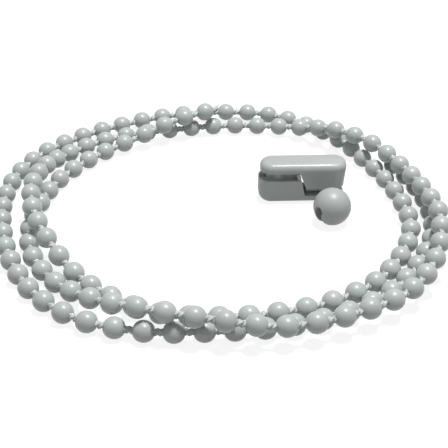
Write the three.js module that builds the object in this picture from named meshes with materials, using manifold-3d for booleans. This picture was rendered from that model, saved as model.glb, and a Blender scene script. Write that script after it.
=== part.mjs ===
// Operating chain of a roller blind. Plastic beads are moulded onto a thin cord at an even pitch.
// The chain is open ended and lies in a loose coil of nearly three turns. Inside the coil lie its
// own two fittings: the connector that joins its ends, in two halves, and the stop ball.
// Millimetres, +Z up. The floor is z = 0 and the origin is under the middle of the coil.

import * as THREE from "three";
import { mergeVertices } from "three/addons/utils/BufferGeometryUtils.js";
import Module from "manifold-3d";

// The chain
const beadDiameter = 4.5;
const beadLength = 4.4;
const beadShoulder = 0.62;
const beadPitch = 6;
const cordDiameter = 1.7;
const endTail = 3.4;

// The coil: one entry for each 15 degrees of every turn, counted from the free end that lies on
// top at the back. An entry is the distance from the coil's centre and the lift above the row of
// beads that lies on the floor. Each line is a quarter of a turn.
const coilCentre = [0, 1.3];
const coilStart = 90;
const coilStep = 15;
const turns = [
  [
    [42.0, 4.9], [38.8, 3.9], [38.1, 1.6], [38.9, 0], [39.3, 0], [40.3, 0],
    [41.5, 0], [43.8, 0], [46.2, 0], [47.7, 0.2], [49.4, 2.2], [51.2, 4.5],
    [52.5, 4.2], [54.5, 2.7], [55.7, 2.6], [56.6, 2.4], [55.0, 3.2], [52.2, 4.5],
    [48.6, 4.3], [46.6, 3.9], [45.4, 4.4], [43.6, 4.1], [44.1, 1.1], [43.0, 0],
  ],
  [
    [41.4, 0], [40.8, 0], [42.4, 0], [44.4, 0], [44.8, 0.9], [43.7, 3.4],
    [43.2, 4.7], [42.8, 4.7], [42.5, 3.2], [42.7, 0.4], [44.2, 0], [45.9, 0],
    [46.0, 0], [46.3, 0], [47.2, 0], [47.7, 0], [47.0, 0], [46.2, 0],
    [44.3, 0], [43.3, 0], [43.7, 0], [46.3, 0], [48.8, 0], [50.8, 0],
  ],
  [
    [50.3, 0], [49.8, 0], [49.4, 0], [50.2, 0], [51.4, 0], [51.3, 0],
    [50.4, 0], [50.0, 0], [51.1, 0], [53.1, 0], [54.0, 0], [52.5, 0],
    [50.6, 0], [50.9, 0], [51.8, 0], [52.2, 0], [51.5, 0], [51.2, 0],
    [50.0, 0], [48.9, 0], [48.8, 0],
  ],
];

// The connector: two moulded halves that snap together with a stepped joint
const connectorMiddle = [20.6, 6.4];
const connectorTurn = 2;
const connectorLength = 20.6;
const connectorDepth = 7;
const connectorHeight = 10.3;
const connectorCorner = 3;
const baseHighTop = 6.2;
const baseLowTop = 2.15;
const highGap = 1.95;
const lowGap = 1.85;
const stepFoot = 0.75;
const stepLean = 0.9;
const capStepLean = 1.6;
const capEndInset = 0.35;
const capEndFlare = 0.6;
const topEdgeRound = 1.6;
const underEdgeRound = 2.2;
const ribInset = 1.8;
const ribRoot = 0.5;
const keeperInset = 0.2;
const keeperDepth = 0.5;
const keeperWidth = 0.7;
const pinDiameter = 1.8;
const pinReach = 0.9;
const pocketSpacing = 11.2;
const pocketDrop = 0.3;
const mouthDiameter = 3.8;
const collarWall = 0.4;
const collarDrop = 0.1;

// The stop ball, which clips over the chain beside any bead
const ballDiameter = 8.8;
const ballMiddle = [27.15, -5.6];
const ballTurn = 216;
const ballMouthDiameter = 2.6;
const ballMouthDepth = 0.7;

// Clearances
const seatGap = 0.3;
const beadClearance = 0.4;
const cordClearance = 0.3;
const pinClearance = 0.35;

// Fineness of curved faces
const chainSides = 8;
const roundSides = 20;
const ballSides = 24;
const cornerSteps = 7;
const edgeSteps = 5;
const curveSteps = 6000;
const mergeDistance = 1e-4;

// How far a cutting shape runs past what it cuts
const beyond = 2;

// Derived sizes
const pocketDiameter = beadDiameter + beadClearance;
const slotWidth = cordDiameter + cordClearance;
const slotDrop = (pocketDiameter - slotWidth) / 2;
const pocketX = pocketSpacing / 2;
const pinX = -pinDiameter / 2 - seatGap;
const halfLength = connectorLength / 2;
const stepHead = stepFoot - stepLean;
const capStepFoot = stepFoot + seatGap;
const capStepHead = capStepFoot - capStepLean;
const thinUnder = baseHighTop + highGap;
const deepUnder = baseLowTop + lowGap;
const baseRibTop = thinUnder - seatGap;
const capRibUnder = baseLowTop + seatGap;
const basePocketTop = baseHighTop - pocketDrop;
const basePocketFloor = basePocketTop - pocketDiameter;
const capPocketUnder = deepUnder + pocketDrop;
const capPocketTop = capPocketUnder + pocketDiameter;
const collarDiameter = mouthDiameter + 2 * collarWall;
const ballRest = Math.sqrt((ballDiameter / 2) ** 2 - (slotWidth / 2) ** 2);

const wasm = await Module();
wasm.setup();

// A geometry with its shared corners merged and its collapsed triangles left out.
function merged(geometry) {
  geometry.deleteAttribute("normal");
  geometry.deleteAttribute("uv");
  const whole = mergeVertices(geometry, mergeDistance);
  const corners = Array.from(whole.index.array);
  const kept = [];
  for (let i = 0; i < corners.length; i += 3) {
    const [a, b, c] = corners.slice(i, i + 3);
    if (a !== b && b !== c && c !== a) kept.push(a, b, c);
  }
  whole.setIndex(kept);
  return whole;
}

function solid(geometry) {
  const whole = merged(geometry);
  return new wasm.Manifold(new wasm.Mesh({
    numProp: 3,
    vertProperties: new Float32Array(whole.getAttribute("position").array),
    triVerts: new Uint32Array(whole.index.array),
  }));
}

function geometryOf(body) {
  const mesh = body.getMesh();
  const geometry = new THREE.BufferGeometry();
  geometry.setAttribute("position", new THREE.BufferAttribute(mesh.vertProperties.slice(), 3));
  geometry.setIndex(new THREE.BufferAttribute(mesh.triVerts.slice(), 1));
  return geometry;
}

const plastic = { color: 0xc0c5c3, roughness: 0.32, metalness: 0 };

function piece(name, geometry, finish) {
  const mesh = new THREE.Mesh(geometry, new THREE.MeshStandardMaterial(finish));
  mesh.name = name;
  return mesh;
}

// Chain

function coilPoint([radius, lift], index) {
  const angle = THREE.MathUtils.degToRad(coilStart + coilStep * index);
  return new THREE.Vector3(
    coilCentre[0] + radius * Math.cos(angle),
    coilCentre[1] + radius * Math.sin(angle),
    beadDiameter / 2 + lift,
  );
}

function chainRoute() {
  const route = new THREE.CatmullRomCurve3(turns.flat().map(coilPoint), false, "catmullrom", 0.5);
  route.arcLengthDivisions = curveSteps;
  return route;
}

// Outline of one bead along the cord: where it starts, its two shoulders, its middle and its end.
function beadOutline(middle) {
  const cord = cordDiameter / 2;
  const belly = beadDiameter / 2;
  const reach = beadLength / 2;
  const shoulder = beadShoulder * reach;
  const shoulderRadius = belly * Math.sqrt(1 - beadShoulder ** 2);
  return [
    new THREE.Vector2(cord, middle - reach),
    new THREE.Vector2(shoulderRadius, middle - shoulder),
    new THREE.Vector2(belly, middle),
    new THREE.Vector2(shoulderRadius, middle + shoulder),
    new THREE.Vector2(cord, middle + reach),
  ];
}

// The whole chain is turned as a straight string of beads, then bent along its route.
function beadChain() {
  const route = chainRoute();
  const length = route.getLength();
  const beads = Math.floor((length - 2 * endTail) / beadPitch) + 1;
  const chainLength = 2 * endTail + (beads - 1) * beadPitch;
  const outline = [new THREE.Vector2(0, 0), new THREE.Vector2(cordDiameter / 2, 0)];
  for (let i = 0; i < beads; i += 1) outline.push(...beadOutline(endTail + i * beadPitch));
  outline.push(new THREE.Vector2(cordDiameter / 2, chainLength), new THREE.Vector2(0, chainLength));
  const string = merged(new THREE.LatheGeometry(outline, chainSides));
  const place = string.getAttribute("position");
  const up = new THREE.Vector3(0, 0, 1);
  for (let i = 0; i < place.count; i += 1) {
    const along = THREE.MathUtils.clamp(place.getY(i) / length, 0, 1);
    const tangent = route.getTangentAt(along);
    const side = tangent.clone().cross(up).normalize();
    const top = side.clone().cross(tangent);
    const point = route.getPointAt(along);
    point.z = Math.max(point.z, beadDiameter / 2);
    point.addScaledVector(side, place.getX(i)).addScaledVector(top, place.getZ(i));
    place.setXYZ(i, point.x, point.y, point.z);
  }
  return string;
}

// Connector

// A flat outline in X and Z, made deeper than the connector, to be cut to its plan.
function elevation(points) {
  const depth = connectorDepth + beyond;
  const shape = new THREE.Shape(points.map(([x, z]) => new THREE.Vector2(x, z)));
  const geometry = new THREE.ExtrudeGeometry(shape, { depth, bevelEnabled: false });
  geometry.translate(0, 0, -depth / 2);
  geometry.rotateX(Math.PI / 2);
  return solid(geometry);
}

// The plan of the connector, a long shape with rounded corners, drawn in by inset on every side
// and then moved out by reach at its two ends.
function planShape(inset, reach) {
  const x = halfLength - inset + reach;
  const y = connectorDepth / 2 - inset;
  const r = connectorCorner - inset;
  const shape = new THREE.Shape();
  shape.moveTo(-x + r, -y);
  shape.lineTo(x - r, -y);
  shape.absarc(x - r, -y + r, r, -Math.PI / 2, 0);
  shape.lineTo(x, y - r);
  shape.absarc(x - r, y - r, r, 0, Math.PI / 2);
  shape.lineTo(-x + r, y);
  shape.absarc(-x + r, y - r, r, Math.PI / 2, Math.PI);
  shape.lineTo(-x, -y + r);
  shape.absarc(-x + r, -y + r, r, Math.PI, Math.PI * 1.5);
  return shape;
}

function planBlock(inset, reach, top) {
  const geometry = new THREE.ExtrudeGeometry(planShape(inset, reach), {
    depth: top, bevelEnabled: false, curveSegments: cornerSteps,
  });
  return solid(geometry);
}

function upright(diameter, x, bottom, top) {
  const geometry = new THREE.CylinderGeometry(diameter / 2, diameter / 2, top - bottom, roundSides);
  geometry.rotateX(Math.PI / 2);
  geometry.translate(x, 0, (bottom + top) / 2);
  return solid(geometry);
}

function block(size, middle) {
  const geometry = new THREE.BoxGeometry(...size);
  geometry.translate(...middle);
  return solid(geometry);
}

// The whole height of the connector, with its top edge rounded over in steps.
function roundedTop(reach, radius) {
  let whole = planBlock(0, reach, connectorHeight - radius);
  for (let i = 1; i <= edgeSteps; i += 1) {
    const turn = (i / edgeSteps) * Math.PI / 2;
    const inset = radius * (1 - Math.cos(turn));
    const top = connectorHeight - radius * (1 - Math.sin(turn));
    whole = whole.add(planBlock(inset, reach, top));
  }
  return whole;
}

// The lower half: high on the left, where it holds one end of the chain, and low on the right.
// Its underside is rounded over all round as the top of the upper half is. A narrow rib fills
// the joint. The last bead snaps into a round pocket through a mouth in the rib that is narrower
// than the bead, with a collar round it.
function connectorBase() {
  const left = -halfLength - beyond;
  const right = halfLength + beyond;
  const outer = elevation([
    [left, 0], [right, 0], [right, baseLowTop], [stepFoot, baseLowTop],
    [stepHead, baseHighTop], [left, baseHighTop],
  ]).intersect(roundedTop(0, underEdgeRound).mirror([0, 0, 1]).translate([0, 0, connectorHeight]));
  const root = baseHighTop - ribRoot;
  const rib = elevation([
    [left, root], [stepHead, root], [stepHead, baseHighTop],
    [capStepHead - seatGap, baseRibTop], [left, baseRibTop],
  ]).intersect(planBlock(ribInset, 0, connectorHeight));
  const slotFloor = basePocketFloor + slotDrop;
  const slotLength = halfLength - pocketX + beyond;
  return outer
    .add(rib)
    .add(upright(collarDiameter, -pocketX, root - collarDrop, baseRibTop - collarDrop))
    .add(keepers())
    .add(upright(pinDiameter, pinX, baseLowTop, thinUnder + pinReach))
    .subtract(upright(pocketDiameter, -pocketX, basePocketFloor, basePocketTop))
    .subtract(upright(mouthDiameter, -pocketX, basePocketFloor, connectorHeight))
    .subtract(block(
      [slotLength, slotWidth, connectorHeight],
      [-pocketX - slotLength / 2, 0, slotFloor + connectorHeight / 2],
    ));
}

// Two small ridges, at the front and the back, that stand on the head of the lower half's step
// and lean as the step of the upper half does.
function keepers() {
  const lean = capStepLean / (thinUnder - deepUnder);
  const root = baseHighTop - ribRoot;
  const head = capStepFoot - lean * (baseRibTop - deepUnder) - seatGap;
  const between = connectorDepth - 2 * (keeperInset + keeperDepth);
  return elevation([
    [stepHead - keeperWidth, root], [stepHead, root], [stepHead, baseHighTop],
    [head, baseRibTop], [head - keeperWidth, baseRibTop],
  ])
    .intersect(planBlock(keeperInset, 0, connectorHeight))
    .subtract(block([connectorLength, between, connectorHeight], [0, 0, connectorHeight / 2]));
}

// The upper half: thin on the left and deep on the right, where it holds the other end.
function connectorCap() {
  const left = -halfLength - beyond;
  const right = halfLength + beyond;
  const leftEnd = -halfLength + capEndInset;
  const rightEnd = halfLength + capEndFlare;
  const flank = elevation([
    [leftEnd, deepUnder], [halfLength, deepUnder], [rightEnd, connectorHeight - topEdgeRound],
    [rightEnd, connectorHeight], [leftEnd, connectorHeight],
  ]);
  const body = elevation([
    [left, thinUnder], [capStepHead, thinUnder], [capStepFoot, deepUnder],
    [right, deepUnder], [right, connectorHeight], [left, connectorHeight],
  ]);
  const root = deepUnder + ribRoot;
  const rib = elevation([
    [capStepFoot, capRibUnder], [right, capRibUnder], [right, root], [capStepFoot, root],
  ]).intersect(planBlock(ribInset, 0, connectorHeight));
  const slotTop = capPocketTop - slotDrop;
  const slotLength = halfLength - pocketX + beyond;
  return body
    .intersect(flank)
    .intersect(roundedTop(capEndFlare, topEdgeRound))
    .add(rib)
    .add(upright(collarDiameter, pocketX, capRibUnder + collarDrop, root + collarDrop))
    .subtract(upright(pinDiameter + 2 * pinClearance, pinX, 0, thinUnder + pinReach + seatGap))
    .subtract(upright(pocketDiameter, pocketX, capPocketUnder, capPocketTop))
    .subtract(upright(mouthDiameter, pocketX, 0, capPocketTop))
    .subtract(block([slotLength, slotWidth, slotTop], [pocketX + slotLength / 2, 0, slotTop / 2]));
}

// Stop ball

function stopBall() {
  const radius = ballDiameter / 2;
  const ball = solid(new THREE.SphereGeometry(radius, ballSides, ballSides / 2));
  const cavity = solid(new THREE.SphereGeometry(pocketDiameter / 2, roundSides, roundSides / 2));
  const channel = new THREE.CylinderGeometry(slotWidth / 2, slotWidth / 2, 2 * radius + beyond, roundSides);
  channel.rotateZ(Math.PI / 2);
  const mouth = new THREE.CylinderGeometry(
    ballMouthDiameter / 2, slotWidth / 2, ballMouthDepth, roundSides,
  );
  mouth.rotateZ(-Math.PI / 2);
  mouth.translate(radius - ballMouthDepth / 2, 0, 0);
  return ball
    .subtract(cavity)
    .subtract(solid(channel))
    .subtract(solid(mouth))
    .subtract(block([2 * radius + beyond, slotWidth, radius + beyond], [0, 0, -(radius + beyond) / 2]));
}

const chain = piece("bead_chain", beadChain(), plastic);

const base = piece("connector_base", geometryOf(connectorBase()), plastic);
const cap = piece("connector_cap", geometryOf(connectorCap()), plastic);
const connector = new THREE.Group();
connector.position.set(coilCentre[0] + connectorMiddle[0], coilCentre[1] + connectorMiddle[1], 0);
connector.rotation.z = THREE.MathUtils.degToRad(connectorTurn);
connector.add(base, cap);

const ball = piece("stop_ball", geometryOf(stopBall()), plastic);
ball.position.set(coilCentre[0] + ballMiddle[0], coilCentre[1] + ballMiddle[1], ballRest);
ball.rotation.z = THREE.MathUtils.degToRad(ballTurn);

const blindChain = new THREE.Group();
blindChain.add(chain, connector, ball);

export default blindChain;
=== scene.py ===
# Looks of a roller blind's operating chain: plastic beads on a twisted cord, in a loose coil, with
# the connector that joins its ends and the stop ball lying inside it.
# Metres and degrees, +Z up, floor at z = 0.
import math
import random

import bmesh
import bpy
from mathutils import Matrix, Vector


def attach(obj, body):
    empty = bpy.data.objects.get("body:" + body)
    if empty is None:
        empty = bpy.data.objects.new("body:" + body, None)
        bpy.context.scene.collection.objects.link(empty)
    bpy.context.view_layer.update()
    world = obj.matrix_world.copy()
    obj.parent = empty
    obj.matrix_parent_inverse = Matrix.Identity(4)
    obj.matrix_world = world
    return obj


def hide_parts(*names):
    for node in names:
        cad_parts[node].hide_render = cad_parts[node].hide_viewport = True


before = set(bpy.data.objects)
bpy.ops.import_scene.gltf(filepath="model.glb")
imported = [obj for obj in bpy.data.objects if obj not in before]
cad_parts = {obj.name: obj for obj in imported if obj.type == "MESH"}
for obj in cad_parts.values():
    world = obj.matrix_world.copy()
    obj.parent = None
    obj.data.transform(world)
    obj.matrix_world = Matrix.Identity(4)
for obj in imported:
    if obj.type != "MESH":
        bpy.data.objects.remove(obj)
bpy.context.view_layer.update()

UP = Vector((0, 0, 1))
SEED = 7

# Camera, with its lens and sensor in millimetres
CAMERA_PLACE = (0.0020, -0.2107, 0.1247)
CAMERA_DOWN = 31.24
CAMERA_LENS = 82.6
CAMERA_SENSOR = 36
CAMERA_NEAR = 0.01

# Chain
BEAD_DIAMETER = 0.0045
BEAD_PITCH = 0.006
BEAD_SIDES = 8
BEAD_ROUNDING = 2
BEAD_STRINGS = 3
BEAD_MERGE = 0.00001
CORD_DIAMETER = 0.0017
CORD_LENGTH = 0.8468
END_TAIL = 0.0034
CURVE_STEPS = 60
DIRECTION_STEP = 0.0004

# Half the outline of a bead's cage, from its pole to its middle: along the cord, and out from it
BEAD_CAGE = ((-0.00216, 0.0), (-0.00223, 0.00107), (-0.00142, 0.00219), (0.0, 0.00267))

# Strands of the cord, which touch one another, and the map that the fibre follows
STRANDS = 3
STRAND_PITCH = 0.0034
STRAND_STEP = 0.00034
STRAND_POINT_ANGLE = 24
MAP_UNITS_PER_METRE = 100

# Filaments at the cord's bare ends: the share of its radius they stand at, and how they lean
FILAMENTS = 14
FILAMENT_SIDES = 5
FILAMENT_PLACE = (0.1, 0.75)
FILAMENT_LEAN = 0.4
FILAMENT_DROOP = 0.1
FILAMENT_REACH = (0.0004, 0.0010)
FILAMENT_ROOT = 0.0004
FILAMENT_FOOT_RADIUS = 0.00009
FILAMENT_TIP_RADIUS = 0.00004

# Coil: every 15 degrees from the free end that shows, the cord's distance from the coil's middle,
# and its lift above a run that lies on the floor
COIL_CENTRE = (0.0, 0.0013)
COIL_START = 90
COIL_STEP = 15
TURNS = [
    [
        (0.0420, 0.0049), (0.0388, 0.0039), (0.0381, 0.0016), (0.0389, 0.0000),
        (0.0393, 0.0000), (0.0403, 0.0000), (0.0415, 0.0000), (0.0438, 0.0000),
        (0.0462, 0.0000), (0.0477, 0.0002), (0.0494, 0.0022), (0.0512, 0.0045),
        (0.0525, 0.0042), (0.0545, 0.0027), (0.0557, 0.0026), (0.0566, 0.0024),
        (0.0550, 0.0032), (0.0522, 0.0045), (0.0486, 0.0043), (0.0466, 0.0039),
        (0.0454, 0.0044), (0.0436, 0.0041), (0.0441, 0.0011), (0.0430, 0.0000),
    ],
    [
        (0.0414, 0.0000), (0.0408, 0.0000), (0.0424, 0.0000), (0.0444, 0.0000),
        (0.0448, 0.0009), (0.0437, 0.0034), (0.0432, 0.0047), (0.0428, 0.0047),
        (0.0425, 0.0032), (0.0427, 0.0004), (0.0442, 0.0000), (0.0459, 0.0000),
        (0.0460, 0.0000), (0.0463, 0.0000), (0.0472, 0.0000), (0.0477, 0.0000),
        (0.0470, 0.0000), (0.0462, 0.0000), (0.0443, 0.0000), (0.0433, 0.0000),
        (0.0437, 0.0000), (0.0463, 0.0000), (0.0488, 0.0000), (0.0508, 0.0000),
    ],
    [
        (0.0503, 0.0000), (0.0498, 0.0000), (0.0494, 0.0000), (0.0502, 0.0000),
        (0.0514, 0.0000), (0.0513, 0.0000), (0.0504, 0.0000), (0.0500, 0.0000),
        (0.0511, 0.0000), (0.0531, 0.0000), (0.0540, 0.0000), (0.0525, 0.0000),
        (0.0506, 0.0000), (0.0509, 0.0000), (0.0518, 0.0000), (0.0522, 0.0000),
        (0.0515, 0.0000), (0.0512, 0.0000), (0.0500, 0.0000), (0.0489, 0.0000),
        (0.0488, 0.0000),
    ],
]

# Connector: both halves
CONNECTOR_MIDDLE = (0.0206, 0.0077)
CONNECTOR_TURN = 2
CONNECTOR_LENGTH = 0.0206
CONNECTOR_DEPTH = 0.007
CONNECTOR_HEIGHT = 0.0103
CONNECTOR_CORNER = 0.003
SEAT_GAP = 0.0003
RIB_INSET = 0.0018
RIB_ROOT = 0.0005
POCKET_X = 0.0056
POCKET_DIAMETER = 0.0049
POCKET_DROP = 0.0003
MOUTH_DIAMETER = 0.0038
COLLAR_WALL = 0.0004
COLLAR_DROP = 0.0001
SLOT_WIDTH = 0.0020

# Connector: lower half, with its step, keepers and pin
BASE_HIGH_TOP = 0.0062
BASE_LOW_TOP = 0.00215
STEP_FOOT = 0.00075
STEP_LEAN = 0.0009
UNDER_EDGE_ROUND = 0.0022
KEEPER_INSET = 0.0002
KEEPER_DEPTH = 0.0005
KEEPER_WIDTH = 0.0007
PIN_DIAMETER = 0.0018
PIN_REACH = 0.0009

# Connector: upper half, and the gaps under it
HIGH_GAP = 0.00195
LOW_GAP = 0.00185
CAP_STEP_LEAN = 0.0016
CAP_END_INSET = 0.00035
CAP_END_FLARE = 0.0006
TOP_EDGE_ROUND = 0.0016
PIN_CLEARANCE = 0.00035

# Connector: what follows from these
HALF_LENGTH = CONNECTOR_LENGTH / 2
STEP_HEAD = STEP_FOOT - STEP_LEAN
CAP_STEP_FOOT = STEP_FOOT + SEAT_GAP
CAP_STEP_HEAD = CAP_STEP_FOOT - CAP_STEP_LEAN
THIN_UNDER = BASE_HIGH_TOP + HIGH_GAP
DEEP_UNDER = BASE_LOW_TOP + LOW_GAP
BASE_RIB_TOP = THIN_UNDER - SEAT_GAP
CAP_RIB_UNDER = BASE_LOW_TOP + SEAT_GAP
BASE_POCKET_TOP = BASE_HIGH_TOP - POCKET_DROP
BASE_POCKET_FLOOR = BASE_POCKET_TOP - POCKET_DIAMETER
CAP_POCKET_UNDER = DEEP_UNDER + POCKET_DROP
CAP_POCKET_TOP = CAP_POCKET_UNDER + POCKET_DIAMETER
COLLAR_DIAMETER = MOUTH_DIAMETER + 2 * COLLAR_WALL
SLOT_DROP = (POCKET_DIAMETER - SLOT_WIDTH) / 2
PIN_X = -PIN_DIAMETER / 2 - SEAT_GAP
PIN_TOP = THIN_UNDER + PIN_REACH

# Stop ball, which rests on the edges of its slot
BALL_DIAMETER = 0.0088
BALL_MIDDLE = (0.02715, -0.0043)
BALL_REST = 0.00428
BALL_TURN = 216
BALL_SIDES = 64
BALL_RINGS = 32
BALL_MOUTH_DIAMETER = 0.0026
BALL_MOUTH_DEPTH = 0.0007
BALL_MOUTH_X = 0.0040
BALL_CUT_LENGTH = 0.012
CHANNEL_SIDES = 32

# Edges, cutters and tolerances
SOFT_EDGE = 0.00013
BALL_SOFT_EDGE = 0.00025
SOFT_EDGE_SEGMENTS = 3
SHARP_ANGLE = 35
CORNER_SEGMENTS = 10
ROUND_SEGMENTS = 8
ROUND_CUTTER_SIDES = 40
BEYOND = 0.002
CUT_MERGE = 0.00002
SAME_PLACE = 1e-6
END_ZONE = 0.009
UPRIGHT_NORMAL_Z = 0.5

# Plastics: cool tint, neutral tint, roughness, and the weight and roughness of the glossy skin
BEAD_FINISH = ((0.53, 0.585, 0.565), (0.55, 0.573, 0.562), 0.36, 0.3, 0.2)
FITTING_FINISH = ((0.485, 0.525, 0.51), (0.505, 0.52, 0.51), 0.45, 0.3, 0.12)
BALL_FINISH = ((0.49, 0.525, 0.512), (0.505, 0.52, 0.512), 0.40, 0.25, 0.45)
FITTING_TINT = 0.5
PLASTIC_IOR = 1.49

# Noises in the plastic, as scale and detail, and what a range of their values becomes
CLOUDS = (160, 3)
CLOUD_SHADE = ((0.3, 0.7), (0.95, 1.03))
SMEARS = (420, 4)
SMEAR_GLOSS = ((0.35, 0.65), (-0.04, 0.05))
GRAIN = (1400, 2)

# Bumps: strength and distance
PLASTIC_BUMP = (0.15, 0.00002)
FIBRE_BUMP = (0.6, 0.00008)

# Fibre: the noise, stretched along the strands, and where on it the dark and light colours lie
FIBRE_PLAIN = (0.75, 0.76, 0.75)
FIBRE_IOR = 1.53
FIBRE_ROUGHNESS = 0.22
FIBRE_NOISE = (1, 2)
FIBRE_STRETCH = (30, 260, 1)
FIBRE_COLOURS = ((0.40, (0.42, 0.45, 0.44, 1)), (0.55, (0.86, 0.89, 0.88, 1)))

# Floor, world and lamp
FLOOR_REACH = 3
FLOOR_BOUNCE = (0.31, 0.32, 0.32, 1)
FLOOR_PAPER = (0.9, 0.9, 0.9, 1)
FLOOR_GLOW = 1.2
FLOOR_GLOW_SHARE = 0.72
WORLD_LIGHT = 0.29
WORLD_SEEN = 1.0
KEY_PLACE = (0.085, 0.04, 0.60)
KEY_SIZE = (0.16, 0.075)
KEY_POWER = 3.3


def make_camera():
    data = bpy.data.cameras.new("camera")
    data.lens = CAMERA_LENS
    data.sensor_width = CAMERA_SENSOR
    data.clip_start = CAMERA_NEAR
    camera = bpy.data.objects.new("camera", data)
    camera.location = CAMERA_PLACE
    camera.rotation_euler = (math.radians(90 - CAMERA_DOWN), 0, 0)
    bpy.context.collection.objects.link(camera)
    bpy.context.scene.camera = camera


# The route of the cord: one smooth curve through the coil's points, with its length at each step

def coil_points():
    points = []
    for index, (radius, lift) in enumerate(sum(TURNS, [])):
        angle = math.radians(COIL_START + COIL_STEP * index)
        points.append(Vector((
            COIL_CENTRE[0] + radius * math.cos(angle),
            COIL_CENTRE[1] + radius * math.sin(angle),
            BEAD_DIAMETER / 2 + lift,
        )))
    return points


def curve_point(a, b, c, d, t):
    """A point on the smooth curve from b to c, whose neighbours are a and d."""
    return 0.5 * (
        2 * b + (c - a) * t + (2 * a - 5 * b + 4 * c - d) * t * t
        + (3 * b - a - 3 * c + d) * t * t * t
    )


def smooth_route():
    """The points of the curve, and how far along it each one lies."""
    points = coil_points()
    points = [2 * points[0] - points[1]] + points + [2 * points[-1] - points[-2]]
    line = []
    for i in range(len(points) - 3):
        line += [curve_point(*points[i:i + 4], k / CURVE_STEPS) for k in range(CURVE_STEPS)]
    line.append(points[-2])
    reach = [0.0]
    for one, two in zip(line, line[1:]):
        reach.append(reach[-1] + (two - one).length)
    return line, reach


class Route:
    """Places and directions by distance along the cord."""

    def __init__(self):
        self.line, self.reach = smooth_route()
        self.index = 0

    def point(self, distance):
        """A place on the route, never so low that a bead there would be in the floor."""
        while self.index > 0 and self.reach[self.index] > distance:
            self.index -= 1
        while self.index < len(self.line) - 2 and self.reach[self.index + 1] < distance:
            self.index += 1
        start, end = self.reach[self.index], self.reach[self.index + 1]
        one, two = self.line[self.index], self.line[self.index + 1]
        place = one.lerp(two, (distance - start) / (end - start))
        place.z = max(place.z, BEAD_DIAMETER / 2)
        return place

    def axes(self, distance):
        """Along the cord, to its side, and upwards."""
        before = self.point(distance - DIRECTION_STEP)
        after = self.point(distance + DIRECTION_STEP)
        along = (after - before).normalized()
        side = along.cross(UP).normalized()
        return along, side, side.cross(along)


# Materials

def noise(nodes, link, place, kind):
    texture = nodes.new("ShaderNodeTexNoise")
    texture.inputs["Scale"].default_value = kind[0]
    texture.inputs["Detail"].default_value = kind[1]
    link(place, texture.inputs["Vector"])
    return texture.outputs["Fac"]


def mapped(nodes, link, value, ranges):
    """A value, taken from the first range to the second."""
    change = nodes.new("ShaderNodeMapRange")
    for side, ends in zip(("From", "To"), ranges):
        change.inputs[side + " Min"].default_value = ends[0]
        change.inputs[side + " Max"].default_value = ends[1]
    link(value, change.inputs["Value"])
    return change.outputs["Result"]


def moulded_surface_group():
    """Colour, gloss and fine relief of moulded plastic."""
    group = bpy.data.node_groups.new("moulded surface", "ShaderNodeTree")
    for name, direction, kind in (
        ("Cool", "INPUT", "NodeSocketColor"),
        ("Neutral", "INPUT", "NodeSocketColor"),
        ("Tint", "INPUT", "NodeSocketFloat"),
        ("Gloss", "INPUT", "NodeSocketFloat"),
        ("Color", "OUTPUT", "NodeSocketColor"),
        ("Roughness", "OUTPUT", "NodeSocketFloat"),
        ("Height", "OUTPUT", "NodeSocketFloat"),
    ):
        group.interface.new_socket(name=name, in_out=direction, socket_type=kind)
    nodes, link = group.nodes, group.links.new
    source = nodes.new("NodeGroupInput")
    result = nodes.new("NodeGroupOutput")
    place = nodes.new("ShaderNodeTexCoord").outputs["Object"]

    tint = nodes.new("ShaderNodeMix")
    tint.data_type = "RGBA"
    link(source.outputs["Tint"], tint.inputs["Factor"])
    link(source.outputs["Cool"], tint.inputs["A"])
    link(source.outputs["Neutral"], tint.inputs["B"])
    shade = mapped(nodes, link, noise(nodes, link, place, CLOUDS), CLOUD_SHADE)
    tone = nodes.new("ShaderNodeVectorMath")
    tone.operation = "SCALE"
    link(tint.outputs["Result"], tone.inputs["Vector"])
    link(shade, tone.inputs["Scale"])
    link(tone.outputs["Vector"], result.inputs["Color"])

    change = mapped(nodes, link, noise(nodes, link, place, SMEARS), SMEAR_GLOSS)
    gloss = nodes.new("ShaderNodeMath")
    gloss.operation = "ADD"
    link(source.outputs["Gloss"], gloss.inputs[0])
    link(change, gloss.inputs[1])
    link(gloss.outputs["Value"], result.inputs["Roughness"])

    link(noise(nodes, link, place, GRAIN), result.inputs["Height"])
    return group


def new_material(name, plain):
    material = bpy.data.materials.new(name)
    material.use_nodes = True
    material.diffuse_color = (*plain, 1)
    return material, material.node_tree.nodes, material.node_tree.links.new


def add_bump(nodes, link, height, shader, kind):
    bump = nodes.new("ShaderNodeBump")
    bump.inputs["Strength"].default_value = kind[0]
    bump.inputs["Distance"].default_value = kind[1]
    link(height, bump.inputs["Height"])
    link(bump.outputs["Normal"], shader.inputs["Normal"])


def plastic(name, surface, finish, tint=None):
    """Moulded plastic. With no tint of its own it takes one from each bead."""
    cool, neutral, roughness, skin, skin_roughness = finish
    material, nodes, link = new_material(name, neutral)
    shader = nodes["Principled BSDF"]
    shader.inputs["IOR"].default_value = PLASTIC_IOR
    shader.inputs["Coat Weight"].default_value = skin
    shader.inputs["Coat Roughness"].default_value = skin_roughness
    moulded = nodes.new("ShaderNodeGroup")
    moulded.node_tree = surface
    moulded.inputs["Cool"].default_value = (*cool, 1)
    moulded.inputs["Neutral"].default_value = (*neutral, 1)
    moulded.inputs["Gloss"].default_value = roughness
    if tint is None:
        bead = nodes.new("ShaderNodeAttribute")
        bead.attribute_name = "tint"
        link(bead.outputs["Fac"], moulded.inputs["Tint"])
    else:
        moulded.inputs["Tint"].default_value = tint
    link(moulded.outputs["Color"], shader.inputs["Base Color"])
    link(moulded.outputs["Roughness"], shader.inputs["Roughness"])
    add_bump(nodes, link, moulded.outputs["Height"], shader, PLASTIC_BUMP)
    return material


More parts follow.
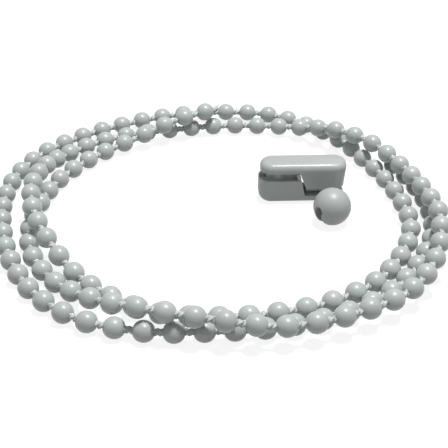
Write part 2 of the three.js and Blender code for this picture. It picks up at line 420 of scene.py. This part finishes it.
def fibre_material():
    """Bright twisted fibre: thin lighter and darker filaments that run with the strands."""
    material, nodes, link = new_material("cord fibre", FIBRE_PLAIN)
    shader = nodes["Principled BSDF"]
    shader.inputs["IOR"].default_value = FIBRE_IOR
    shader.inputs["Roughness"].default_value = FIBRE_ROUGHNESS
    strand = nodes.new("ShaderNodeUVMap")
    strand.uv_map = "strand"
    mapping = nodes.new("ShaderNodeMapping")
    mapping.inputs["Scale"].default_value = FIBRE_STRETCH
    link(strand.outputs["UV"], mapping.inputs["Vector"])
    filaments = noise(nodes, link, mapping.outputs["Vector"], FIBRE_NOISE)
    ramp = nodes.new("ShaderNodeValToRGB")
    for element, (position, colour) in zip(ramp.color_ramp.elements, FIBRE_COLOURS):
        element.position = position
        element.color = colour
    link(filaments, ramp.inputs["Fac"])
    link(ramp.outputs["Color"], shader.inputs["Base Color"])
    add_bump(nodes, link, filaments, shader, FIBRE_BUMP)
    return material


# Chain

def add_piece(name, bm, material):
    mesh = bpy.data.meshes.new(name)
    bm.to_mesh(mesh)
    bm.free()
    mesh.materials.append(material)
    piece = bpy.data.objects.new(name, mesh)
    bpy.context.collection.objects.link(piece)
    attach(piece, "root")
    return piece


def smooth(piece):
    for face in piece.data.polygons:
        face.use_smooth = True


def one_bead():
    """The cage of a bead, turned round the cord's line, which is X."""
    bm = bmesh.new()
    half = list(BEAD_CAGE)
    outline = half + [(-x, r) for x, r in reversed(half[:-1])]
    points = [bm.verts.new((x, 0, r)) for x, r in outline]
    edges = [bm.edges.new(pair) for pair in zip(points, points[1:])]
    bmesh.ops.spin(
        bm, geom=points + edges, cent=(0, 0, 0), axis=(1, 0, 0), angle=math.tau,
        steps=BEAD_SIDES, use_merge=True,
    )
    bmesh.ops.remove_doubles(bm, verts=bm.verts, dist=BEAD_MERGE)
    mesh = bpy.data.meshes.new("one bead")
    bm.to_mesh(mesh)
    bm.free()
    return mesh


def bead_string(name, route, first, last, draw, material):
    """A run of beads, each rolled about the cord and given a tint by chance."""
    cage = one_bead()
    bm = bmesh.new()
    layer = bm.verts.layers.float.new("tint")
    for number in range(first, last):
        distance = END_TAIL + number * BEAD_PITCH
        turn = Matrix(route.axes(distance)).transposed().to_4x4()
        roll = Matrix.Rotation(draw.uniform(0, math.tau), 4, "X")
        place = Matrix.Translation(route.point(distance)) @ turn @ roll
        start = len(bm.verts)
        bm.from_mesh(cage)
        bm.verts.ensure_lookup_table()
        new = bm.verts[start:]
        bmesh.ops.transform(bm, matrix=place, verts=new)
        tint = draw.random()
        for vert in new:
            vert[layer] = tint
    bpy.data.meshes.remove(cage)
    # The axes are left-handed and turn each bead inside out, which this puts right
    bmesh.ops.recalc_face_normals(bm, faces=bm.faces)
    piece = add_piece(name, bm, material)
    smooth(piece)
    rounding = piece.modifiers.new("rounding", "SUBSURF")
    rounding.levels = BEAD_ROUNDING
    rounding.render_levels = BEAD_ROUNDING
    return piece


def strand_outline():
    """Across the cord: round strands that touch, each drawn by five points."""
    strand = CORD_DIAMETER / 2 / (1 + 1 / math.sin(math.pi / STRANDS))
    out = CORD_DIAMETER / 2 - strand
    outline = []
    for lobe in range(STRANDS):
        for step in range(-2, 3):
            turn = math.radians(STRAND_POINT_ANGLE * step)
            radius = out * math.cos(turn) + math.sqrt(strand ** 2 - (out * math.sin(turn)) ** 2)
            outline.append((math.tau * lobe / STRANDS + turn, radius))
    return outline


def twisted_cord(route, material):
    """The cord from end to end, and the route that it follows."""
    steps = round(CORD_LENGTH / STRAND_STEP)
    stations = [CORD_LENGTH * i / steps for i in range(steps + 1)]
    outline = strand_outline()
    bm = bmesh.new()
    strand_map = bm.loops.layers.uv.new("strand")
    rings = []
    path = []
    for distance in stations:
        place = route.point(distance)
        path.append(place)
        _, side, top = route.axes(distance)
        twist = math.tau * distance / STRAND_PITCH
        rings.append([
            bm.verts.new(place + radius * (math.cos(a + twist) * side + math.sin(a + twist) * top))
            for a, radius in outline
        ])
    count = len(outline)
    for station, (one, two) in enumerate(zip(rings, rings[1:])):
        for i in range(count):
            j = (i + 1) % count
            face = bm.faces.new((one[i], one[j], two[j], two[i]))
            face.smooth = True
            for loop, (s, k) in zip(face.loops, ((0, i), (0, i + 1), (1, i + 1), (1, i))):
                loop[strand_map].uv = (stations[station + s] * MAP_UNITS_PER_METRE, k / count)
    bm.faces.new(rings[0])
    bm.faces.new(rings[-1])
    bmesh.ops.recalc_face_normals(bm, faces=bm.faces)
    return add_piece("twisted_cord", bm, material), path


def frayed_ends(route, draw, material):
    """Loose filaments that stand out of the cord at its two bare ends."""
    bm = bmesh.new()
    bm.loops.layers.uv.new("strand")
    for distance, outward in ((0.0, -1), (CORD_LENGTH, 1)):
        along, side, top = route.axes(distance)
        end = route.point(distance)
        for _ in range(FILAMENTS):
            around = draw.uniform(0, math.tau)
            out = draw.uniform(*FILAMENT_PLACE) * CORD_DIAMETER / 2
            foot = end + out * (math.cos(around) * side + math.sin(around) * top)
            lean = Vector((
                draw.uniform(-FILAMENT_LEAN, FILAMENT_LEAN),
                draw.uniform(-FILAMENT_LEAN, FILAMENT_LEAN),
                draw.uniform(-FILAMENT_DROOP, FILAMENT_LEAN),
            ))
            way = (outward * along + lean).normalized()
            reach = draw.uniform(*FILAMENT_REACH)
            turn = way.to_track_quat("Z", "Y").to_matrix().to_4x4()
            middle = foot + way * (reach / 2 - FILAMENT_ROOT / 2)
            bmesh.ops.create_cone(
                bm, cap_ends=True, segments=FILAMENT_SIDES, radius1=FILAMENT_FOOT_RADIUS,
                radius2=FILAMENT_TIP_RADIUS, depth=reach + FILAMENT_ROOT,
                matrix=Matrix.Translation(middle) @ turn,
            )
    piece = add_piece("frayed_ends", bm, material)
    smooth(piece)
    return piece


# Connector and ball: outlines, bevels and cuts

def extruded(points, depth):
    """A flat outline in X and Z, given its depth along Y."""
    bm = bmesh.new()
    face = bm.faces.new([bm.verts.new((x, -depth / 2, z)) for x, z in points])
    grown = bmesh.ops.extrude_face_region(bm, geom=[face])["geom"]
    verts = [v for v in grown if isinstance(v, bmesh.types.BMVert)]
    bmesh.ops.translate(bm, verts=verts, vec=(0, depth, 0))
    bmesh.ops.recalc_face_normals(bm, faces=bm.faces)
    return bm


def bevel(bm, edges, offset, segments):
    bmesh.ops.bevel(
        bm, geom=edges, offset=offset, segments=segments, profile=0.5, affect="EDGES",
        material=-1, clamp_overlap=True,
    )


def rim(bm, height):
    """The edges round a flat face that lies at one height."""
    return [
        e for e in bm.edges
        if all(abs(v.co.z - height) < SAME_PLACE for v in e.verts)
        and min(abs(f.normal.z) for f in e.link_faces) < UPRIGHT_NORMAL_Z
    ]


def end_corners(bm):
    """The edges that stand at the two ends of the connector."""
    corners = []
    for edge in bm.edges:
        one, two = (v.co for v in edge.verts)
        stands = abs(one.y - two.y) <= SAME_PLACE <= abs(one.z - two.z)
        if stands and (max(one.x, two.x) < -END_ZONE or min(one.x, two.x) > END_ZONE):
            corners.append(edge)
    return corners


def cutter(name, bm):
    """A shape to cut with or to add, which combine removes again."""
    mesh = bpy.data.meshes.new(name)
    bm.to_mesh(mesh)
    bm.free()
    tool = bpy.data.objects.new(name, mesh)
    bpy.context.collection.objects.link(tool)
    return tool


def round_cutter(diameter, x, bottom, top):
    bm = bmesh.new()
    bmesh.ops.create_cone(
        bm, cap_ends=True, segments=ROUND_CUTTER_SIDES, radius1=diameter / 2, radius2=diameter / 2,
        depth=top - bottom, matrix=Matrix.Translation((x, 0, (bottom + top) / 2)),
    )
    return cutter("round cutter", bm)


def box_cutter(low, high):
    bm = bmesh.new()
    bmesh.ops.create_cube(bm, size=1)
    bmesh.ops.scale(bm, verts=bm.verts, vec=[h - l for l, h in zip(low, high)])
    bmesh.ops.translate(bm, verts=bm.verts, vec=[(l + h) / 2 for l, h in zip(low, high)])
    return cutter("box cutter", bm)


def combine(piece, tools, how):
    """Cuts or joins the tools, makes the result the piece's mesh, and merges its slivers."""
    for tool in tools:
        step = piece.modifiers.new(how, "BOOLEAN")
        step.operation = how
        step.solver = "EXACT"
        step.object = tool
    made = bpy.data.meshes.new_from_object(
        piece.evaluated_get(bpy.context.evaluated_depsgraph_get()))
    bm = bmesh.new()
    bm.from_mesh(made)
    bmesh.ops.remove_doubles(bm, verts=bm.verts, dist=CUT_MERGE)
    bmesh.ops.dissolve_degenerate(bm, edges=bm.edges, dist=CUT_MERGE)
    bm.to_mesh(made)
    bm.free()
    piece.modifiers.clear()
    piece.data = made
    for tool in tools:
        mesh = tool.data
        bpy.data.objects.remove(tool)
        bpy.data.meshes.remove(mesh)


def finish_solid(piece, place, turn, edge=SOFT_EDGE):
    """Moves a finished shape to its place, and rounds the sharp edges that are left."""
    piece.data.transform(Matrix.Translation(place) @ Matrix.Rotation(math.radians(turn), 4, "Z"))
    smooth(piece)
    rounding = piece.modifiers.new("soft edges", "BEVEL")
    rounding.width = edge
    rounding.segments = SOFT_EDGE_SEGMENTS
    rounding.limit_method = "ANGLE"
    rounding.angle_limit = math.radians(SHARP_ANGLE)
    rounding.harden_normals = True


# Connector

def rib(points):
    """The core of a half, which stands back from its outside and enters the other half."""
    bm = extruded(points, CONNECTOR_DEPTH - 2 * RIB_INSET)
    bevel(bm, end_corners(bm), CONNECTOR_CORNER - RIB_INSET, ROUND_SEGMENTS)
    return cutter("rib", bm)


def keeper(side):
    """A small ridge on the head of the base's step, which leans as the step of the cap does."""
    lean = CAP_STEP_LEAN / (THIN_UNDER - DEEP_UNDER)
    root = BASE_HIGH_TOP - RIB_ROOT
    head = CAP_STEP_FOOT - lean * (BASE_RIB_TOP - DEEP_UNDER) - SEAT_GAP
    bm = extruded((
        (STEP_HEAD - KEEPER_WIDTH, root), (STEP_HEAD, root), (STEP_HEAD, BASE_HIGH_TOP),
        (head, BASE_RIB_TOP), (head - KEEPER_WIDTH, BASE_RIB_TOP),
    ), KEEPER_DEPTH)
    out = CONNECTOR_DEPTH / 2 - KEEPER_INSET - KEEPER_DEPTH / 2
    bmesh.ops.translate(bm, verts=bm.verts, vec=(0, side * out, 0))
    return cutter("keeper", bm)


def base_step():
    """What is cut from the right of the base to leave its step."""
    over = 1 + BEYOND / (BASE_HIGH_TOP - BASE_LOW_TOP)
    right = HALF_LENGTH + BEYOND
    return cutter("step", extruded((
        (STEP_FOOT, BASE_LOW_TOP), (right, BASE_LOW_TOP), (right, BASE_HIGH_TOP + BEYOND),
        (STEP_FOOT - STEP_LEAN * over, BASE_HIGH_TOP + BEYOND),
    ), CONNECTOR_DEPTH + BEYOND))


def connector_base(material):
    bm = extruded((
        (-HALF_LENGTH, 0), (HALF_LENGTH, 0),
        (HALF_LENGTH, BASE_HIGH_TOP), (-HALF_LENGTH, BASE_HIGH_TOP),
    ), CONNECTOR_DEPTH)
    bevel(bm, end_corners(bm), CONNECTOR_CORNER, CORNER_SEGMENTS)
    bevel(bm, rim(bm, 0), UNDER_EDGE_ROUND, ROUND_SEGMENTS)
    piece = add_piece("connector_base_shell", bm, material)
    combine(piece, [base_step()], "DIFFERENCE")
    end = RIB_INSET - HALF_LENGTH
    root = BASE_HIGH_TOP - RIB_ROOT
    combine(piece, [
        rib((
            (end, root), (STEP_HEAD, root), (STEP_HEAD, BASE_HIGH_TOP),
            (CAP_STEP_HEAD - SEAT_GAP, BASE_RIB_TOP), (end, BASE_RIB_TOP),
        )),
        round_cutter(PIN_DIAMETER, PIN_X, BASE_LOW_TOP, PIN_TOP),
    ], "UNION")
    # One by one, because together they leave open edges
    for tool in (
        round_cutter(COLLAR_DIAMETER, -POCKET_X, root - COLLAR_DROP, BASE_RIB_TOP - COLLAR_DROP),
        keeper(-1), keeper(1),
    ):
        combine(piece, [tool], "UNION")
    combine(piece, [
        round_cutter(POCKET_DIAMETER, -POCKET_X, BASE_POCKET_FLOOR, BASE_POCKET_TOP),
        round_cutter(MOUTH_DIAMETER, -POCKET_X, BASE_POCKET_FLOOR, CONNECTOR_HEIGHT),
        box_cutter(
            (-HALF_LENGTH - BEYOND, -SLOT_WIDTH / 2, BASE_POCKET_FLOOR + SLOT_DROP),
            (-POCKET_X, SLOT_WIDTH / 2, CONNECTOR_HEIGHT),
        ),
    ], "DIFFERENCE")
    finish_solid(piece, (*CONNECTOR_MIDDLE, 0), CONNECTOR_TURN)
    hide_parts("connector_base")


def connector_cap(material):
    left = -HALF_LENGTH + CAP_END_INSET
    right = HALF_LENGTH + CAP_END_FLARE
    bm = extruded((
        (left, THIN_UNDER), (CAP_STEP_HEAD, THIN_UNDER), (CAP_STEP_FOOT, DEEP_UNDER),
        (HALF_LENGTH, DEEP_UNDER), (right, CONNECTOR_HEIGHT), (left, CONNECTOR_HEIGHT),
    ), CONNECTOR_DEPTH)
    bevel(bm, end_corners(bm), CONNECTOR_CORNER, CORNER_SEGMENTS)
    bevel(bm, rim(bm, CONNECTOR_HEIGHT), TOP_EDGE_ROUND, ROUND_SEGMENTS)
    piece = add_piece("connector_cap_shell", bm, material)
    end = HALF_LENGTH - RIB_INSET
    root = DEEP_UNDER + RIB_ROOT
    combine(piece, [
        rib((
            (CAP_STEP_FOOT, CAP_RIB_UNDER), (end, CAP_RIB_UNDER),
            (end, root), (CAP_STEP_FOOT, root),
        )),
        round_cutter(COLLAR_DIAMETER, POCKET_X, CAP_RIB_UNDER + COLLAR_DROP, root + COLLAR_DROP),
    ], "UNION")
    combine(piece, [
        round_cutter(PIN_DIAMETER + 2 * PIN_CLEARANCE, PIN_X, 0, PIN_TOP + SEAT_GAP),
        round_cutter(POCKET_DIAMETER, POCKET_X, CAP_POCKET_UNDER, CAP_POCKET_TOP),
        round_cutter(MOUTH_DIAMETER, POCKET_X, 0, CAP_POCKET_TOP),
        box_cutter(
            (POCKET_X, -SLOT_WIDTH / 2, 0),
            (HALF_LENGTH + BEYOND, SLOT_WIDTH / 2, CAP_POCKET_TOP - SLOT_DROP),
        ),
    ], "DIFFERENCE")
    finish_solid(piece, (*CONNECTOR_MIDDLE, 0), CONNECTOR_TURN)
    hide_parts("connector_cap")


# Stop ball

def sphere(diameter, sides, rings):
    bm = bmesh.new()
    bmesh.ops.create_uvsphere(bm, u_segments=sides, v_segments=rings, radius=diameter / 2)
    return bm


def channel_cutter(name, x, length, diameter):
    """A round cutter along X: as wide as the channel at its left, and this wide at its right."""
    across = Matrix.Rotation(math.radians(90), 4, "Y")
    bm = bmesh.new()
    bmesh.ops.create_cone(
        bm, cap_ends=True, segments=CHANNEL_SIDES, radius1=SLOT_WIDTH / 2, radius2=diameter / 2,
        depth=length, matrix=Matrix.Translation((x, 0, 0)) @ across,
    )
    return cutter(name, bm)


def stop_ball(material):
    ball = sphere(BALL_DIAMETER, BALL_SIDES, BALL_RINGS)
    piece = add_piece("stop_ball_shell", ball, material)
    far = BALL_CUT_LENGTH / 2
    combine(piece, [
        cutter("cavity", sphere(POCKET_DIAMETER, BALL_SIDES // 2, BALL_RINGS // 2)),
        channel_cutter("channel", 0, BALL_CUT_LENGTH, SLOT_WIDTH),
        channel_cutter("mouth", BALL_MOUTH_X, BALL_MOUTH_DEPTH, BALL_MOUTH_DIAMETER),
        box_cutter((-far, -SLOT_WIDTH / 2, -far), (far, SLOT_WIDTH / 2, 0)),
    ], "DIFFERENCE")
    finish_solid(piece, (*BALL_MIDDLE, BALL_REST), BALL_TURN, BALL_SOFT_EDGE)
    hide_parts("stop_ball")


# Floor, world and lamp

def floor_material():
    """Grey where it lights the part, and white where it is seen, with part of the shadow kept."""
    material, nodes, link = new_material("floor", (1, 1, 1))
    nodes.remove(nodes["Principled BSDF"])
    output = nodes["Material Output"]
    bounce = nodes.new("ShaderNodeBsdfDiffuse")
    bounce.inputs["Color"].default_value = FLOOR_BOUNCE
    paper = nodes.new("ShaderNodeBsdfDiffuse")
    paper.inputs["Color"].default_value = FLOOR_PAPER
    glow = nodes.new("ShaderNodeEmission")
    glow.inputs["Strength"].default_value = FLOOR_GLOW
    seen = nodes.new("ShaderNodeMixShader")
    seen.inputs["Fac"].default_value = FLOOR_GLOW_SHARE
    link(paper.outputs["BSDF"], seen.inputs[1])
    link(glow.outputs["Emission"], seen.inputs[2])
    rays = nodes.new("ShaderNodeLightPath")
    either = nodes.new("ShaderNodeMath")
    either.operation = "MAXIMUM"
    link(rays.outputs["Is Camera Ray"], either.inputs[0])
    link(rays.outputs["Is Glossy Ray"], either.inputs[1])
    pick = nodes.new("ShaderNodeMixShader")
    link(either.outputs["Value"], pick.inputs["Fac"])
    link(bounce.outputs["BSDF"], pick.inputs[1])
    link(seen.outputs["Shader"], pick.inputs[2])
    link(pick.outputs["Shader"], output.inputs["Surface"])
    return material


def make_floor():
    bm = bmesh.new()
    bmesh.ops.create_grid(bm, x_segments=1, y_segments=1, size=FLOOR_REACH)
    mesh = bpy.data.meshes.new("floor")
    bm.to_mesh(mesh)
    bm.free()
    mesh.materials.append(floor_material())
    floor = bpy.data.objects.new("floor", mesh)
    bpy.context.collection.objects.link(floor)


def make_world():
    """Even white light, which the camera sees as plain white."""
    world = bpy.data.worlds.new("studio")
    bpy.context.scene.world = world
    world.use_nodes = True
    nodes, link = world.node_tree.nodes, world.node_tree.links.new
    background = nodes["Background"]
    background.inputs["Color"].default_value = (1, 1, 1, 1)
    rays = nodes.new("ShaderNodeLightPath")
    seen = rays.outputs["Is Camera Ray"]
    strength = mapped(nodes, link, seen, ((0, 1), (WORLD_LIGHT, WORLD_SEEN)))
    link(strength, background.inputs["Strength"])


def add_lamp(name, place, size, power):
    data = bpy.data.lights.new(name, "AREA")
    data.shape = "RECTANGLE"
    data.size, data.size_y = size
    data.energy = power
    lamp = bpy.data.objects.new(name, data)
    lamp.location = place
    lamp.rotation_euler = (-Vector(place)).to_track_quat("-Z", "Y").to_euler()
    bpy.context.collection.objects.link(lamp)


make_camera()
route = Route()
draw = random.Random(SEED)
surface = moulded_surface_group()
bead_plastic = plastic("bead plastic", surface, BEAD_FINISH)
fitting_plastic = plastic("fitting plastic", surface, FITTING_FINISH, FITTING_TINT)
ball_plastic = plastic("ball plastic", surface, BALL_FINISH, FITTING_TINT)
fibre = fibre_material()

beads = round((CORD_LENGTH - 2 * END_TAIL) / BEAD_PITCH) + 1
starts = [beads * i // BEAD_STRINGS for i in range(BEAD_STRINGS + 1)]
strings = [
    bead_string(f"beads_{i + 1}", route, starts[i], starts[i + 1], draw, bead_plastic)
    for i in range(BEAD_STRINGS)
]
cord, path = twisted_cord(route, fibre)
fray = frayed_ends(route, draw, fibre)
for piece in (*strings, cord, fray):
    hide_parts("bead_chain")
connector_base(fitting_plastic)
connector_cap(fitting_plastic)
stop_ball(ball_plastic)

make_floor()
make_world()
add_lamp("key", KEY_PLACE, KEY_SIZE, KEY_POWER)
bpy.context.scene.view_settings.view_transform = "Standard"
